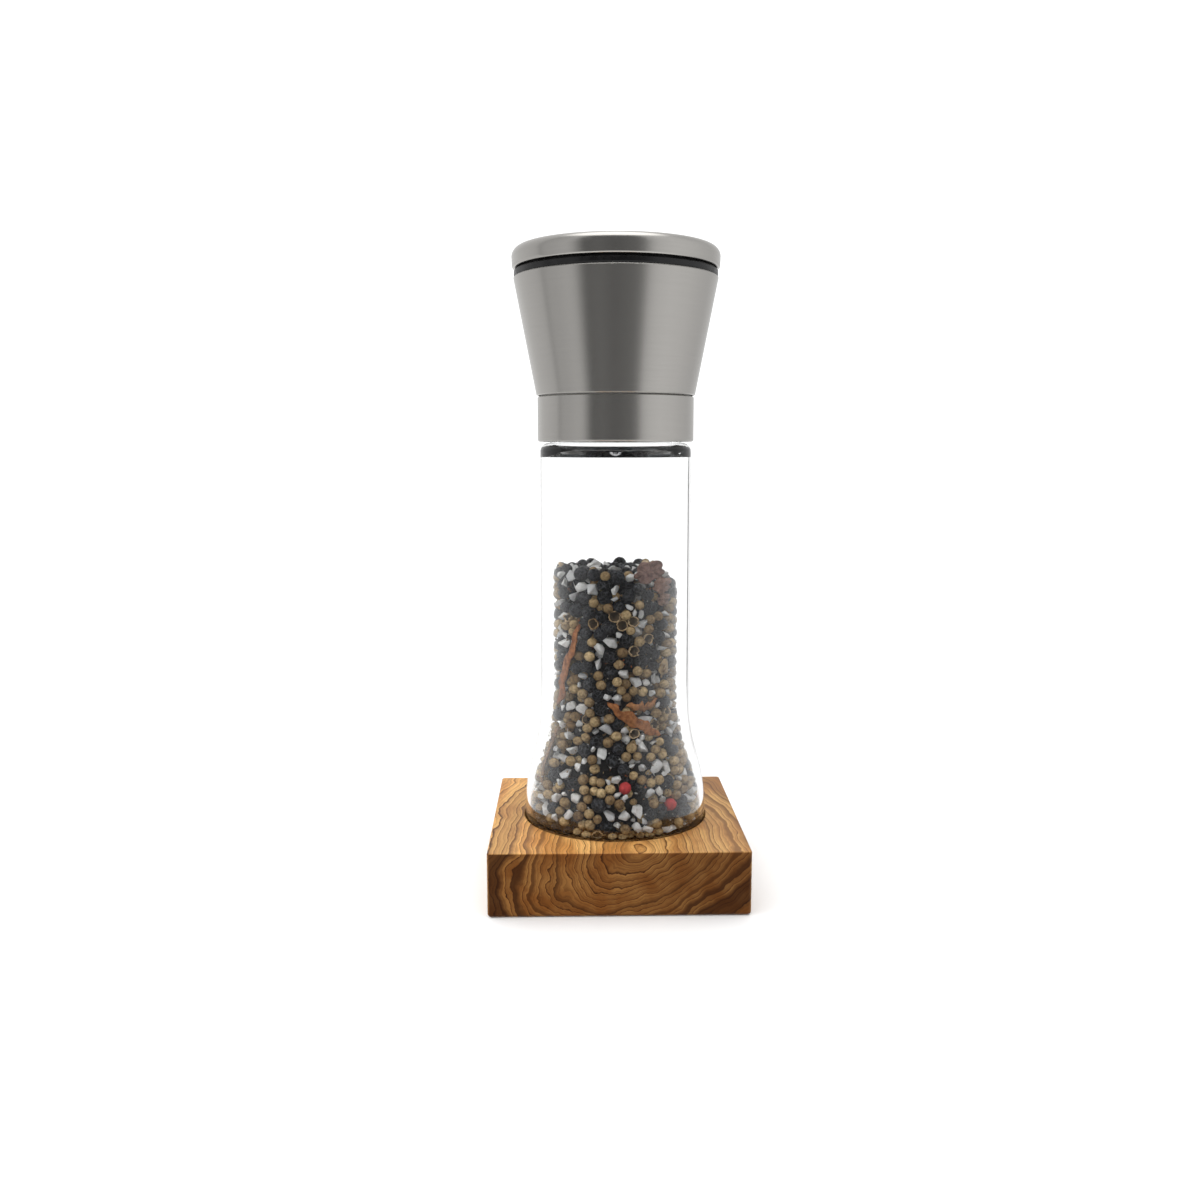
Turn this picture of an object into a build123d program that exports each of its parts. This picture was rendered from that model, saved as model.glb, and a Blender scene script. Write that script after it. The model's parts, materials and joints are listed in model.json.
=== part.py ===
"""Pepper mill on an olive wood base: glass jar, screw collar, rotating steel head and pull-off lid.

Millimetres, +Z up.  The origin is the centre of the base's underside, and the mill stands on the Z axis.
The jar stands in the base, the collar screws onto the jar, the head turns on the collar and carries the
outer burr, and the inner burr slides on a square shaft that the collar holds still.
"""

import os
from math import atan2, cos, degrees, radians, tan

from build123d import *

# ---------------------------------------------------------------- driving dimensions
BASE_SIDE, BASE_HEIGHT = 80.0, 20.0
BASE_CORNER_R, BASE_TOP_EDGE_R, BASE_FOOT_EDGE_R = 1.2, 0.5, 1.0
RECESS_DEPTH, RECESS_LIP = 5.5, 0.25
FIT = 0.1  # gap between parts that are glued or pressed together
SLIP = 0.3  # gap between bodies that move past each other

# glass jar: foot, flare, straight body with a little draft, shoulder and neck
JAR_FLOOR_Z = BASE_HEIGHT - RECESS_DEPTH
FOOT_R, FLARE_LOW_Z, FLARE_SHARE = 29.75, 22.5, 0.52
BODY_LOW_R, FLARE_TOP_Z = 24.5, 58.0
BODY_TOP_R, SHOULDER_Z = 24.15, 142.1
NECK_R, MOUTH_R, RIM_Z = 21.0, 18.0, 152.0
CAVITY_FLOOR_Z, CAVITY_FOOT_R, CAVITY_FLARE_LOW_Z, CAVITY_SHARE = 17.8, 28.1, 21.8, 0.4
CAVITY_R, CAVITY_FLARE_TOP_Z = 20.6, 63.0
CAVITY_TOP_Z, MOUTH_LOW_Z = 137.6, 141.0
FILL_TOP_Z, FILL_SLOPE, FILL_CLEAR = 103.0, 16.0, 0.3

THREAD_PITCH, THREAD_TURNS = 4.0, 1.4
THREAD_START_Z = 144.4

COLLAR_R, COLLAR_LOW_Z, COLLAR_TOP_Z = 24.9, 142.4, 156.5
SHEET = 0.6  # steel sheet

HEAD_LOW_Z, HEAD_LOW_R = 156.9, 25.2
HEAD_TOP_Z, HEAD_TOP_R = 193.4, 32.25
RIM_TOP_Z, RIM_R = 195.7, 32.05

LID_LOW_Z, LID_TOP_Z, LID_R = 196.0, 202.5, 32.75
SOCKET_R, DECK_Z = 29.6, 190.2  # the lid's plug goes into this socket, down to the deck

SHAFT_SIDE = 6.0
BURR_LOW_Z, BURR_WAIST_Z, BURR_TOP_Z = 172.2, 182.0, 188.4
BURR_GAP = 0.3
WASHER_LOW_Z = BURR_LOW_Z - 0.8
STUD_R, STUD_TOP_Z = 2.9, 197.4
ADJUST_PITCH = 1.0
KNOB_R, KNOB_LOW_Z, KNOB_TOP_Z = 7.6, 189.75, 197.0


# ---------------------------------------------------------------- helpers
def revolved(*edges):
    """A solid of revolution about Z from edges drawn on XZ, closed by them."""
    return revolve(make_face(Plane.XZ * Wire(edges)), Axis.Z)


def lathe(*points):
    """A solid of revolution about Z from straight runs between (radius, height) points."""
    return revolve(make_face(Plane.XZ * Polyline(*points, close=True)), Axis.Z)


def ring(outer, inner, low, high):
    return lathe((inner, low), (outer, low), (outer, high), (inner, high))


def rod(radius, low, high):
    return Pos(0, 0, low) * extrude(Circle(radius), high - low)


def bar(polygon, low, high):
    """A flat outline drawn on XY, extruded from low to high."""
    return Pos(0, 0, low) * extrude(polygon, high - low)


def around(shape, count, start=0.0):
    """Copies of shape, evenly spaced about Z."""
    return [Rot(0, 0, start + 360 * i / count) * shape for i in range(count)]


def single(shape):
    """One Solid or Compound to export, whatever the boolean handed back."""
    solids = shape.solids()
    return solids[0] if len(solids) == 1 else Compound(solids)


def s_bend(low, high, share):
    """Two arcs that leave low and high along Z and meet tangentially at share of the way from low to high."""
    middle = (low[0] + (high[0] - low[0]) * share, low[1] + (high[1] - low[1]) * share)
    lower = TangentArc(low, middle, tangent=(0, 1))
    upper = TangentArc(high, middle, tangent=(0, -1))
    return lower, upper


def thread_ridge(root_radius, height, start_z):
    """A helical ridge, 1 mm wide at its tip, on a wall of root_radius. A negative height stands inward."""
    helix = Pos(0, 0, start_z) * Helix(THREAD_PITCH, THREAD_PITCH * THREAD_TURNS, root_radius)
    sunk = -0.4 if height > 0 else 0.4
    outline = Polygon((sunk, -1.1), (height, -0.5), (height, 0.5), (sunk, 1.1), align=None)
    section = Plane(helix @ 0, x_dir=(1, 0, 0), z_dir=helix % 0) * outline
    return sweep(section, path=helix, is_frenet=True)


# ---------------------------------------------------------------- base and jar
def olive_wood_base():
    block = Pos(0, 0, BASE_HEIGHT / 2) * Box(BASE_SIDE, BASE_SIDE, BASE_HEIGHT)
    block = fillet(block.edges().filter_by(Axis.Z), BASE_CORNER_R)
    block = fillet(block.faces().sort_by(Axis.Z)[-1].edges(), BASE_TOP_EDGE_R)
    block = fillet(block.faces().sort_by(Axis.Z)[0].edges(), BASE_FOOT_EDGE_R)
    recess_r, lip_z = FOOT_R + SLIP, BASE_HEIGHT - RECESS_LIP
    recess = rod(recess_r, JAR_FLOOR_Z, BASE_HEIGHT + 1)
    mouth = lathe((0, lip_z), (recess_r, lip_z), (recess_r + RECESS_LIP, BASE_HEIGHT), (0, BASE_HEIGHT))
    return block - recess - mouth


def cavity(clear, top):
    """Edges of the jar's inside, brought in by clear: floor centre, corner, flare, and wall up to top."""
    foot_r, wall_r, floor_z = CAVITY_FOOT_R - clear, CAVITY_R - clear, CAVITY_FLOOR_Z + clear
    corner = (foot_r - (CAVITY_FLARE_LOW_Z - floor_z), floor_z)
    low, high = (foot_r, CAVITY_FLARE_LOW_Z), (wall_r, CAVITY_FLARE_TOP_Z)
    flare_low, flare_high = s_bend(low, high, CAVITY_SHARE)
    return (
        Line((0, floor_z), corner),
        TangentArc(low, corner, tangent=(0, -1)),
        flare_low,
        flare_high,
        Line(high, (wall_r, top)),
    )


def glass_jar():
    foot_corner, shoulder_corner = 3.0, 2.8
    foot_ring_r, punt_r, punt_z = 21.0, 17.0, JAR_FLOOR_Z + 1.0
    corner_z = JAR_FLOOR_Z + foot_corner
    flare_low, flare_high = s_bend((FOOT_R, FLARE_LOW_Z), (BODY_LOW_R, FLARE_TOP_Z), FLARE_SHARE)
    shoulder_start = (BODY_TOP_R, SHOULDER_Z - shoulder_corner)
    shoulder_end = (BODY_TOP_R - shoulder_corner, SHOULDER_Z)
    edges = (
        # underside, hollowed in the middle as a pressed jar's is
        Line((0, punt_z), (punt_r, punt_z)),
        Line((punt_r, punt_z), (foot_ring_r, JAR_FLOOR_Z)),
        Line((foot_ring_r, JAR_FLOOR_Z), (FOOT_R - foot_corner, JAR_FLOOR_Z)),
        TangentArc((FOOT_R - foot_corner, JAR_FLOOR_Z), (FOOT_R, corner_z), tangent=(1, 0)),
        Line((FOOT_R, corner_z), (FOOT_R, FLARE_LOW_Z)),
        flare_low,
        flare_high,
        Line((BODY_LOW_R, FLARE_TOP_Z), shoulder_start),
        # shoulder, neck and rim
        TangentArc(shoulder_start, shoulder_end, tangent=(0, 1)),
        Line(shoulder_end, (NECK_R, SHOULDER_Z)),
        Line((NECK_R, SHOULDER_Z), (NECK_R, RIM_Z - 1.0)),
        TangentArc((NECK_R, RIM_Z - 1.0), (NECK_R - 1.0, RIM_Z), tangent=(0, 1)),
        Line((NECK_R - 1.0, RIM_Z), (MOUTH_R + 0.6, RIM_Z)),
        TangentArc((MOUTH_R + 0.6, RIM_Z), (MOUTH_R, RIM_Z - 0.6), tangent=(-1, 0)),
        # inside
        Line((MOUTH_R, RIM_Z - 0.6), (MOUTH_R, MOUTH_LOW_Z)),
        Line((MOUTH_R, MOUTH_LOW_Z), (CAVITY_R, CAVITY_TOP_Z)),
        *cavity(0, CAVITY_TOP_Z),
        Line((0, CAVITY_FLOOR_Z), (0, punt_z)),
    )
    return revolved(*edges) + thread_ridge(NECK_R, 1.1, THREAD_START_Z)


def spice_fill():
    """The spice that the jar holds, as one plug a little clear of the glass, sloping down to one side."""
    wall_r, cut_height, slope_start = CAVITY_R - FILL_CLEAR, 10.0, 4.0
    plug = revolved(
        *cavity(FILL_CLEAR, FILL_TOP_Z),
        Line((wall_r, FILL_TOP_Z), (0, FILL_TOP_Z)),
        Line((0, FILL_TOP_Z), (0, CAVITY_FLOOR_Z + FILL_CLEAR)),
    )
    cut = Pos(CAVITY_R, 0, cut_height / 2) * Box(2 * CAVITY_R, 3 * CAVITY_R, cut_height)
    return plug - Pos(slope_start, 0, FILL_TOP_Z) * Rot(0, FILL_SLOPE, 0) * cut


def neck_gasket():
    return ring(NECK_R + 0.3, MOUTH_R + 0.3, RIM_Z + 0.05, RIM_Z + 1.0)


# ---------------------------------------------------------------- collar
SEAT_Z = RIM_Z + 1.1  # the underside of the ledge that presses on the gasket
LEDGE_Z = SEAT_Z + 1.5
BRIDGE_R, BRIDGE_TOP_Z = 18.9, 159.6
UPSTAND_R, UPSTAND_TOP_Z = 21.0, 164.0
CLIP_Z = 161.7
ARM_WIDTH, LUG_R = 4.0, 20.0
HUB_R, HUB_LOW_Z, HUB_TOP_Z = 5.6, RIM_Z + 0.5, 160.0


def collar_sleeve():
    corner = 0.8
    corner_r, corner_z = COLLAR_R - corner, COLLAR_LOW_Z + corner
    inner = COLLAR_R - SHEET
    edges = (
        Line((COLLAR_R - 1.5, COLLAR_LOW_Z), (corner_r, COLLAR_LOW_Z)),
        TangentArc((corner_r, COLLAR_LOW_Z), (COLLAR_R, corner_z), tangent=(1, 0)),
        Line((COLLAR_R, corner_z), (COLLAR_R, COLLAR_TOP_Z - 0.2)),
        Line((COLLAR_R, COLLAR_TOP_Z - 0.2), (COLLAR_R - 0.2, COLLAR_TOP_Z)),
        Line((COLLAR_R - 0.2, COLLAR_TOP_Z), (inner, COLLAR_TOP_Z)),
        Line((inner, COLLAR_TOP_Z), (inner, corner_z)),
        TangentArc((inner, corner_z), (inner - 0.2, COLLAR_LOW_Z + SHEET), tangent=(0, -1)),
        Line((inner - 0.2, COLLAR_LOW_Z + SHEET), (COLLAR_R - 1.5, COLLAR_LOW_Z + SHEET)),
        Line((COLLAR_R - 1.5, COLLAR_LOW_Z + SHEET), (COLLAR_R - 1.5, COLLAR_LOW_Z)),
    )
    return revolved(*edges)


def thread_ring():
    outer = COLLAR_R - SHEET - FIT
    thread_r = NECK_R + 1.6
    low, shoulder = COLLAR_LOW_Z + SHEET + 0.2, COLLAR_TOP_Z - 0.3
    groove_r = UPSTAND_R - 0.8
    body = lathe(
        (thread_r, low), (outer, low), (outer, shoulder), (UPSTAND_R, shoulder), (UPSTAND_R, CLIP_Z),
        (groove_r, CLIP_Z), (groove_r, CLIP_Z + 1.1), (UPSTAND_R, CLIP_Z + 1.1),
        (UPSTAND_R, UPSTAND_TOP_Z - 0.4), (UPSTAND_R - 0.4, UPSTAND_TOP_Z), (BRIDGE_R + FIT, UPSTAND_TOP_Z),
        (BRIDGE_R + FIT, LEDGE_Z), (MOUTH_R - 0.6, LEDGE_Z), (MOUTH_R - 0.6, SEAT_Z), (thread_r, SEAT_Z),
    )
    key_way = Pos(BRIDGE_R + 0.4, 0, (LEDGE_Z + BRIDGE_TOP_Z) / 2 + 0.1) * Box(
        2 * (LUG_R - BRIDGE_R) - 0.3, ARM_WIDTH + 2 * FIT, BRIDGE_TOP_Z - LEDGE_Z + 0.2
    )
    for cut in around(key_way, 4, 45):
        body -= cut
    return body + thread_ridge(thread_r, -1.0, THREAD_START_Z + THREAD_PITCH / 2)


def drive_bridge():
    """Four arms that carry the shaft's hub across the throat and leave four windows for the spice."""
    low = LEDGE_Z + FIT
    rim = ring(BRIDGE_R, MOUTH_R - 0.9, low, BRIDGE_TOP_Z)
    hub = rod(HUB_R, HUB_LOW_Z, HUB_TOP_Z)
    arm = Pos((BRIDGE_R - 0.5) / 2, 0, (low + BRIDGE_TOP_Z) / 2) * Box(
        BRIDGE_R - 0.5, ARM_WIDTH - 1.0, BRIDGE_TOP_Z - low
    )
    lug = Pos(BRIDGE_R, 0, (low + BRIDGE_TOP_Z) / 2) * Box(1.2, ARM_WIDTH, BRIDGE_TOP_Z - low)
    bridge = rim + hub
    for piece in around(arm, 4, 45) + around(lug, 4, 45):
        bridge += piece
    square_hole = bar(Rectangle(SHAFT_SIDE + FIT, SHAFT_SIDE + FIT), HUB_LOW_Z + 1.4, HUB_TOP_Z + 1)
    screw_hole = rod(1.7, HUB_LOW_Z - 1, HUB_LOW_Z + 2)
    return bridge - square_hole - screw_hole


SCREW_R = 1.45
SHAFT_LOW_Z, SHAFT_SHOULDER_Z = HUB_LOW_Z + 1.5, 189.5


def drive_shaft():
    """Square steel shaft with a threaded stud on top and a tapped hole below."""
    square = bar(RectangleRounded(SHAFT_SIDE, SHAFT_SIDE, 0.5), SHAFT_LOW_Z, SHAFT_SHOULDER_Z)
    groove, half = 0.35, ADJUST_PITCH / 2
    turns = int((STUD_TOP_Z - SHAFT_SHOULDER_Z - 1) / ADJUST_PITCH)
    outline = [(0, SHAFT_SHOULDER_Z - 1), (STUD_R, SHAFT_SHOULDER_Z - 1)]
    for i in range(turns):
        z = SHAFT_SHOULDER_Z + 0.4 + i * ADJUST_PITCH
        outline += [(STUD_R, z), (STUD_R - groove, z + half)]
    top = SHAFT_SHOULDER_Z + 0.4 + turns * ADJUST_PITCH
    outline += [(STUD_R, top), (STUD_R - 0.6, STUD_TOP_Z), (0, STUD_TOP_Z)]
    return square + lathe(*outline) - rod(SCREW_R + 0.05, SHAFT_LOW_Z - 1, SHAFT_LOW_Z + 9)


def shaft_washer():
    return ring(4.6, SCREW_R + 0.15, HUB_LOW_Z - 0.85, HUB_LOW_Z - 0.05)


def shaft_screw():
    """Pan-head screw with a hexagon socket, up through the washer and the hub into the shaft."""
    head_top = HUB_LOW_Z - 0.9
    head = rod(2.75, head_top - 2.0, head_top)
    head = fillet(head.faces().sort_by(Axis.Z)[0].edges(), 0.8)
    shank = rod(SCREW_R, head_top, SHAFT_LOW_Z + 8)
    socket = bar(RegularPolygon(1.25, 6, major_radius=False), head_top - 3.0, head_top - 0.9)
    return head + shank - socket


def retaining_clip():
    """Open steel clip in the upstand's groove, which holds the head down on the collar."""
    hoop = ring(UPSTAND_R + 1.1, UPSTAND_R - 0.7, CLIP_Z + 0.05, CLIP_Z + 1.05)
    return hoop - Pos(UPSTAND_R, 0, CLIP_Z + 0.5) * Box(6, 7, 3)


def swivel_washer():
    return ring(COLLAR_R - 1.0, UPSTAND_R + 0.2, COLLAR_TOP_Z - 0.25, COLLAR_TOP_Z + 0.45)


SPRING_LOW_Z, SPRING_WIRE, SPRING_R = HUB_TOP_Z + 0.05, 0.9, 4.9


def burr_spring():
    """Compression spring between the hub and the washer under the inner burr, its end turns cut flat."""
    height = WASHER_LOW_Z - 0.05 - SPRING_LOW_Z
    helix = Pos(0, 0, SPRING_LOW_Z) * Helix(height / 5, height, SPRING_R)
    section = Plane(helix @ 0, z_dir=helix % 0) * Circle(SPRING_WIRE / 2)
    coil = sweep(section, path=helix, is_frenet=True)
    keep = rod(SPRING_R + 2, SPRING_LOW_Z, SPRING_LOW_Z + height)
    return coil & keep


# ---------------------------------------------------------------- head
SLOPE = (HEAD_TOP_R - HEAD_LOW_R) / (HEAD_TOP_Z - HEAD_LOW_Z)
SEAT_R = 15.6  # the bore that holds the outer burr
RETAINER_R, RETAINER_LOW_Z = 21.4, BURR_TOP_Z + 0.1
FASTENER_CIRCLE_R, FASTENERS = 18.6, 3


def head_r(z, inset=0.0):
    """The sleeve's outside radius at height z, less inset."""
    return HEAD_LOW_R + (z - HEAD_LOW_Z) * SLOPE - inset


def head_sleeve():
    low_bend, top_bend = 0.35, 0.35
    low, top = HEAD_LOW_Z, HEAD_TOP_Z
    return lathe(
        (head_r(low, low_bend), low), (head_r(low + low_bend), low + low_bend),
        (head_r(top - top_bend), top - top_bend), (head_r(top, top_bend), top),
        (head_r(top, SHEET), top), (head_r(low, SHEET), low),
    )


def head_housing():
    """Moulded body of the head: bearing below, funnel and burr seat inside, rim and lid socket above."""
    inset, wall = SHEET + FIT, 1.8
    bearing_low, bearing_top = COLLAR_TOP_Z + 0.75, CLIP_Z - 0.3
    skirt_low = UPSTAND_TOP_Z + 1.0
    under_deck = DECK_Z - 2.2
    seat_wall_r = SEAT_R + 2.2
    pocket_r = head_r(under_deck, inset + wall)
    step_r = UPSTAND_R + 1.6
    body = lathe(
        (UPSTAND_R + 0.1, bearing_low), (head_r(bearing_low, inset), bearing_low),
        (head_r(HEAD_TOP_Z, inset), HEAD_TOP_Z), (head_r(HEAD_TOP_Z, inset), HEAD_TOP_Z + FIT),
        (RIM_R - 0.25, HEAD_TOP_Z + FIT), (RIM_R, HEAD_TOP_Z + 0.5), (RIM_R, RIM_TOP_Z - 0.6),
        (RIM_R - 0.6, RIM_TOP_Z), (SOCKET_R + 0.4, RIM_TOP_Z), (SOCKET_R, RIM_TOP_Z - 0.4),
        (SOCKET_R, DECK_Z + 0.6), (RETAINER_R + FIT, DECK_Z), (RETAINER_R + FIT, RETAINER_LOW_Z - FIT),
        (SEAT_R, RETAINER_LOW_Z - FIT), (SEAT_R, BURR_LOW_Z - FIT), (13.4, BURR_LOW_Z - FIT),
        (13.4, BURR_LOW_Z - 1.0), (18.6, skirt_low), (20.4, skirt_low), (seat_wall_r, BURR_LOW_Z - 1.0),
        (seat_wall_r, RETAINER_LOW_Z - 2.0), (RETAINER_R + 2.0, under_deck), (pocket_r, under_deck),
        (head_r(skirt_low + 1, inset + wall), skirt_low + 1), (step_r, skirt_low + 1),
        (step_r, bearing_top), (UPSTAND_R + 0.1, bearing_top),
    )
    boss = Pos(FASTENER_CIRCLE_R, 0, 0) * rod(2.6, RETAINER_LOW_Z - 9, RETAINER_LOW_Z - FIT)
    pilot = Pos(FASTENER_CIRCLE_R, 0, 0) * rod(1.0, RETAINER_LOW_Z - 7.5, RETAINER_LOW_Z + 1)
    key_way = Pos(SEAT_R, 0, (BURR_LOW_Z + BURR_TOP_Z) / 2) * Box(2.2, 4.2, BURR_TOP_Z - BURR_LOW_Z + 0.4)
    bore = rod(SEAT_R, BURR_LOW_Z, RETAINER_LOW_Z)
    for piece in around(boss - bore, FASTENERS, 60):
        body += piece
    for cut in around(pilot, FASTENERS, 60) + around(key_way, 3):
        body -= cut
    return body


def grooves(count, depth, width, low, low_r, high, high_r, twist, start=0.0):
    """Slanting square cuts along a cone from (low_r, low) to (high_r, high), centred on its surface."""
    run = high - low
    lean = degrees(atan2(high_r - low_r, run))
    cutter = Box(2 * depth, width, run / cos(radians(lean)) * 1.25)
    cutter = Rot(twist, 0, 0) * cutter
    cutter = Rot(0, lean, 0) * cutter
    cutter = Pos((low_r + high_r) / 2, 0, (low + high) / 2) * cutter
    return around(cutter, count, start)


OUTER_WAIST_R, OUTER_THROAT_R = 11.4, 13.2
GRIND_SLOPE = tan(radians(22))
OUTER_TOP_R = OUTER_WAIST_R + (BURR_TOP_Z - BURR_WAIST_Z) * GRIND_SLOPE
INNER_LOW_R, HUB_BORE_R = 6.6, 4.7


def outer_burr():
    """Ceramic ring, wide at the throat, narrow at the waist and opening again through the grinding teeth."""
    body = lathe(
        (OUTER_THROAT_R, BURR_LOW_Z), (SEAT_R - FIT, BURR_LOW_Z), (SEAT_R - FIT, BURR_TOP_Z),
        (OUTER_TOP_R, BURR_TOP_Z), (OUTER_WAIST_R, BURR_WAIST_Z),
    )
    key = Pos(SEAT_R, 0, (BURR_LOW_Z + BURR_TOP_Z) / 2) * Box(1.8, 4.0, BURR_TOP_Z - BURR_LOW_Z)
    for piece in around(key, 3):
        body += piece
    fine = grooves(36, 0.45, 0.8, BURR_WAIST_Z, OUTER_WAIST_R, BURR_TOP_Z, OUTER_TOP_R, 14)
    coarse = grooves(9, 0.9, 2.6, BURR_LOW_Z, OUTER_THROAT_R, BURR_WAIST_Z, OUTER_WAIST_R, 20)
    for cut in fine + coarse:
        body -= cut
    return body


def burr_retainer():
    body = ring(RETAINER_R, OUTER_TOP_R + 0.35, RETAINER_LOW_Z, DECK_Z)
    hole = Pos(FASTENER_CIRCLE_R, 0, 0) * rod(1.35, RETAINER_LOW_Z - 1, DECK_Z + 1)
    for cut in around(hole, FASTENERS, 60):
        body -= cut
    return body


def retainer_screws():
    head = rod(2.2, DECK_Z + 0.05, DECK_Z + 1.25)
    head = fillet(head.faces().sort_by(Axis.Z)[-1].edges(), 0.5)
    shank = rod(0.95, RETAINER_LOW_Z - 6, DECK_Z + 0.2)
    cross = Pos(0, 0, DECK_Z + 1.1) * (Box(2.4, 0.5, 1.0) + Box(0.5, 2.4, 1.0))
    screw = Pos(FASTENER_CIRCLE_R, 0, 0) * (head + shank - cross)
    return Compound([s for one in around(screw, FASTENERS, 60) for s in one.solids()])


# ---------------------------------------------------------------- rotor and adjuster
def inner_burr():
    """Ceramic cone: eight deep feeding flutes below, fine grinding teeth above."""
    waist_r = OUTER_WAIST_R - BURR_GAP
    top_r = OUTER_TOP_R - BURR_GAP
    body = lathe(
        (HUB_BORE_R, BURR_LOW_Z), (INNER_LOW_R, BURR_LOW_Z), (waist_r, BURR_WAIST_Z),
        (top_r, BURR_TOP_Z), (HUB_BORE_R, BURR_TOP_Z),
    )
    fine = grooves(32, 0.5, 0.8, BURR_WAIST_Z, waist_r, BURR_TOP_Z, top_r, -16)
    coarse = grooves(8, 1.5, 2.8, BURR_LOW_Z, INNER_LOW_R, BURR_WAIST_Z, waist_r, -24)
    for cut in fine + coarse:
        body -= cut
    key_way = Pos(HUB_BORE_R, 0, BURR_TOP_Z) * Box(2.6, 2.6, 8)
    for cut in around(key_way, 2, 90):
        body -= cut
    return body


def burr_hub():
    """Plastic core of the inner burr, with the square hole that slides on the shaft."""
    low = BURR_LOW_Z + 0.05
    core = rod(HUB_BORE_R - FIT, low, BURR_TOP_Z + 0.2)
    flange = rod(8.6, BURR_TOP_Z + 0.1, KNOB_LOW_Z - 0.1)
    key = Pos(HUB_BORE_R, 0, BURR_TOP_Z - 1.4) * Box(2.2, 2.3, 4.8)
    body = core + flange
    for piece in around(key, 2, 90):
        body += piece
    return body - bar(Rectangle(SHAFT_SIDE + 2 * FIT, SHAFT_SIDE + 2 * FIT), low - 1, KNOB_LOW_Z + 1)


def thrust_washer():
    body = rod(5.9, WASHER_LOW_Z, BURR_LOW_Z - 0.05)
    return body - bar(Rectangle(SHAFT_SIDE + 3 * FIT, SHAFT_SIDE + 3 * FIT), WASHER_LOW_Z - 1, BURR_LOW_Z + 1)


NUT_FLAT, NUT_TOP_Z = 8.0, KNOB_LOW_Z + 4.2


def adjuster_knob():
    """Fluted knob with a brass nut moulded in from below, and an arrow raised on its top."""
    body = rod(KNOB_R, KNOB_LOW_Z, KNOB_TOP_Z - 0.6)
    body = fillet(body.faces().sort_by(Axis.Z)[-1].edges(), 1.2)
    flute = Pos(KNOB_R + 0.9, 0, 0) * rod(1.7, KNOB_LOW_Z + 1.2, KNOB_TOP_Z + 1)
    for cut in around(flute, 12, 15):
        body -= cut
    arrow = Polygon((-1.4, 3.6), (1.4, 3.6), (0, 5.9), align=None)
    body += bar(arrow, KNOB_TOP_Z - 0.8, KNOB_TOP_Z)
    seat_outline = RegularPolygon(NUT_FLAT / 2 + 0.05, 6, major_radius=False)
    nut_seat = bar(seat_outline, KNOB_LOW_Z - 1, NUT_TOP_Z + 0.05)
    return body - nut_seat - rod(STUD_R + 0.4, KNOB_LOW_Z, KNOB_TOP_Z + 1)


def adjuster_nut():
    blank = bar(RegularPolygon(NUT_FLAT / 2, 6, major_radius=False), KNOB_LOW_Z + 0.1, NUT_TOP_Z)
    return blank - rod(STUD_R + 0.08, KNOB_LOW_Z - 1, NUT_TOP_Z + 1)


# ---------------------------------------------------------------- lid
PLUG_R, PLUG_LOW_Z = SOCKET_R - SLIP, DECK_Z + 1.0
SEAL_Z, SEAL_SECTION_R = 193.4, 0.5


def lid_shell():
    """Spun steel cap with a rounded shoulder and an edge rolled in under."""
    shoulder, roll = 3.0, 0.9
    inner_r, inner_top = LID_R - SHEET, LID_TOP_Z - SHEET
    edge_r = LID_R - 1.3
    edges = (
        Line((0, LID_TOP_Z - 0.35), (24, LID_TOP_Z - 0.1)),
        Line((24, LID_TOP_Z - 0.1), (LID_R - shoulder, LID_TOP_Z)),
        TangentArc((LID_R - shoulder, LID_TOP_Z), (LID_R, LID_TOP_Z - shoulder), tangent=(1, 0)),
        Line((LID_R, LID_TOP_Z - shoulder), (LID_R - 0.1, LID_LOW_Z + roll)),
        TangentArc((LID_R - 0.1, LID_LOW_Z + roll), (edge_r + 0.1, LID_LOW_Z), tangent=(-0.1, -2.6)),
        Line((edge_r + 0.1, LID_LOW_Z), (edge_r, LID_LOW_Z + 0.25)),
        Line((edge_r, LID_LOW_Z + 0.25), (inner_r - 0.1, LID_LOW_Z + roll)),
        Line((inner_r - 0.1, LID_LOW_Z + roll), (inner_r, LID_TOP_Z - shoulder)),
        TangentArc((inner_r, LID_TOP_Z - shoulder), (LID_R - shoulder, inner_top), tangent=(0, 1)),
        Line((LID_R - shoulder, inner_top), (24, inner_top - 0.1)),
        Line((24, inner_top - 0.1), (0, inner_top - 0.35)),
        Line((0, inner_top - 0.35), (0, LID_TOP_Z - 0.35)),
    )
    return revolved(*edges)


def lid_liner():
    """Moulded liner: a disc under the steel, a flange that seats on the rim, and the plug."""
    top = LID_TOP_Z - SHEET - 0.5
    under = top - 1.6
    flange_r = LID_R - 1.6
    wide_r = LID_R - SHEET - 0.25
    seat = RIM_TOP_Z + 0.05
    groove_r = SOCKET_R - 0.25 - 2 * SEAL_SECTION_R
    half = SEAL_SECTION_R + 0.05
    return lathe(
        (0, under), (PLUG_R - 1.9, under), (PLUG_R - 1.9, PLUG_LOW_Z), (PLUG_R - 0.5, PLUG_LOW_Z),
        (PLUG_R, PLUG_LOW_Z + 0.5), (PLUG_R, SEAL_Z - half), (groove_r, SEAL_Z - half),
        (groove_r, SEAL_Z + half), (PLUG_R, SEAL_Z + half), (PLUG_R, seat), (flange_r - 0.3, seat),
        (flange_r - 0.3, LID_LOW_Z + 1.1), (wide_r - 0.2, LID_LOW_Z + 1.4), (wide_r, LID_TOP_Z - 3.2),
        (wide_r - 2.3, top), (0, top),
    )


def lid_seal():
    """O-ring in the plug's groove, standing a little proud of it."""
    return Pos(0, 0, SEAL_Z) * Torus(SOCKET_R - 0.15 - SEAL_SECTION_R, SEAL_SECTION_R)


PARTS = (
    olive_wood_base, glass_jar, spice_fill, neck_gasket,
    collar_sleeve, thread_ring, drive_bridge, drive_shaft, shaft_washer, shaft_screw,
    retaining_clip, swivel_washer, burr_spring,
    head_sleeve, head_housing, outer_burr, burr_retainer, retainer_screws,
    inner_burr, burr_hub, thrust_washer, adjuster_knob, adjuster_nut,
    lid_shell, lid_liner, lid_seal,
)

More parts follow.
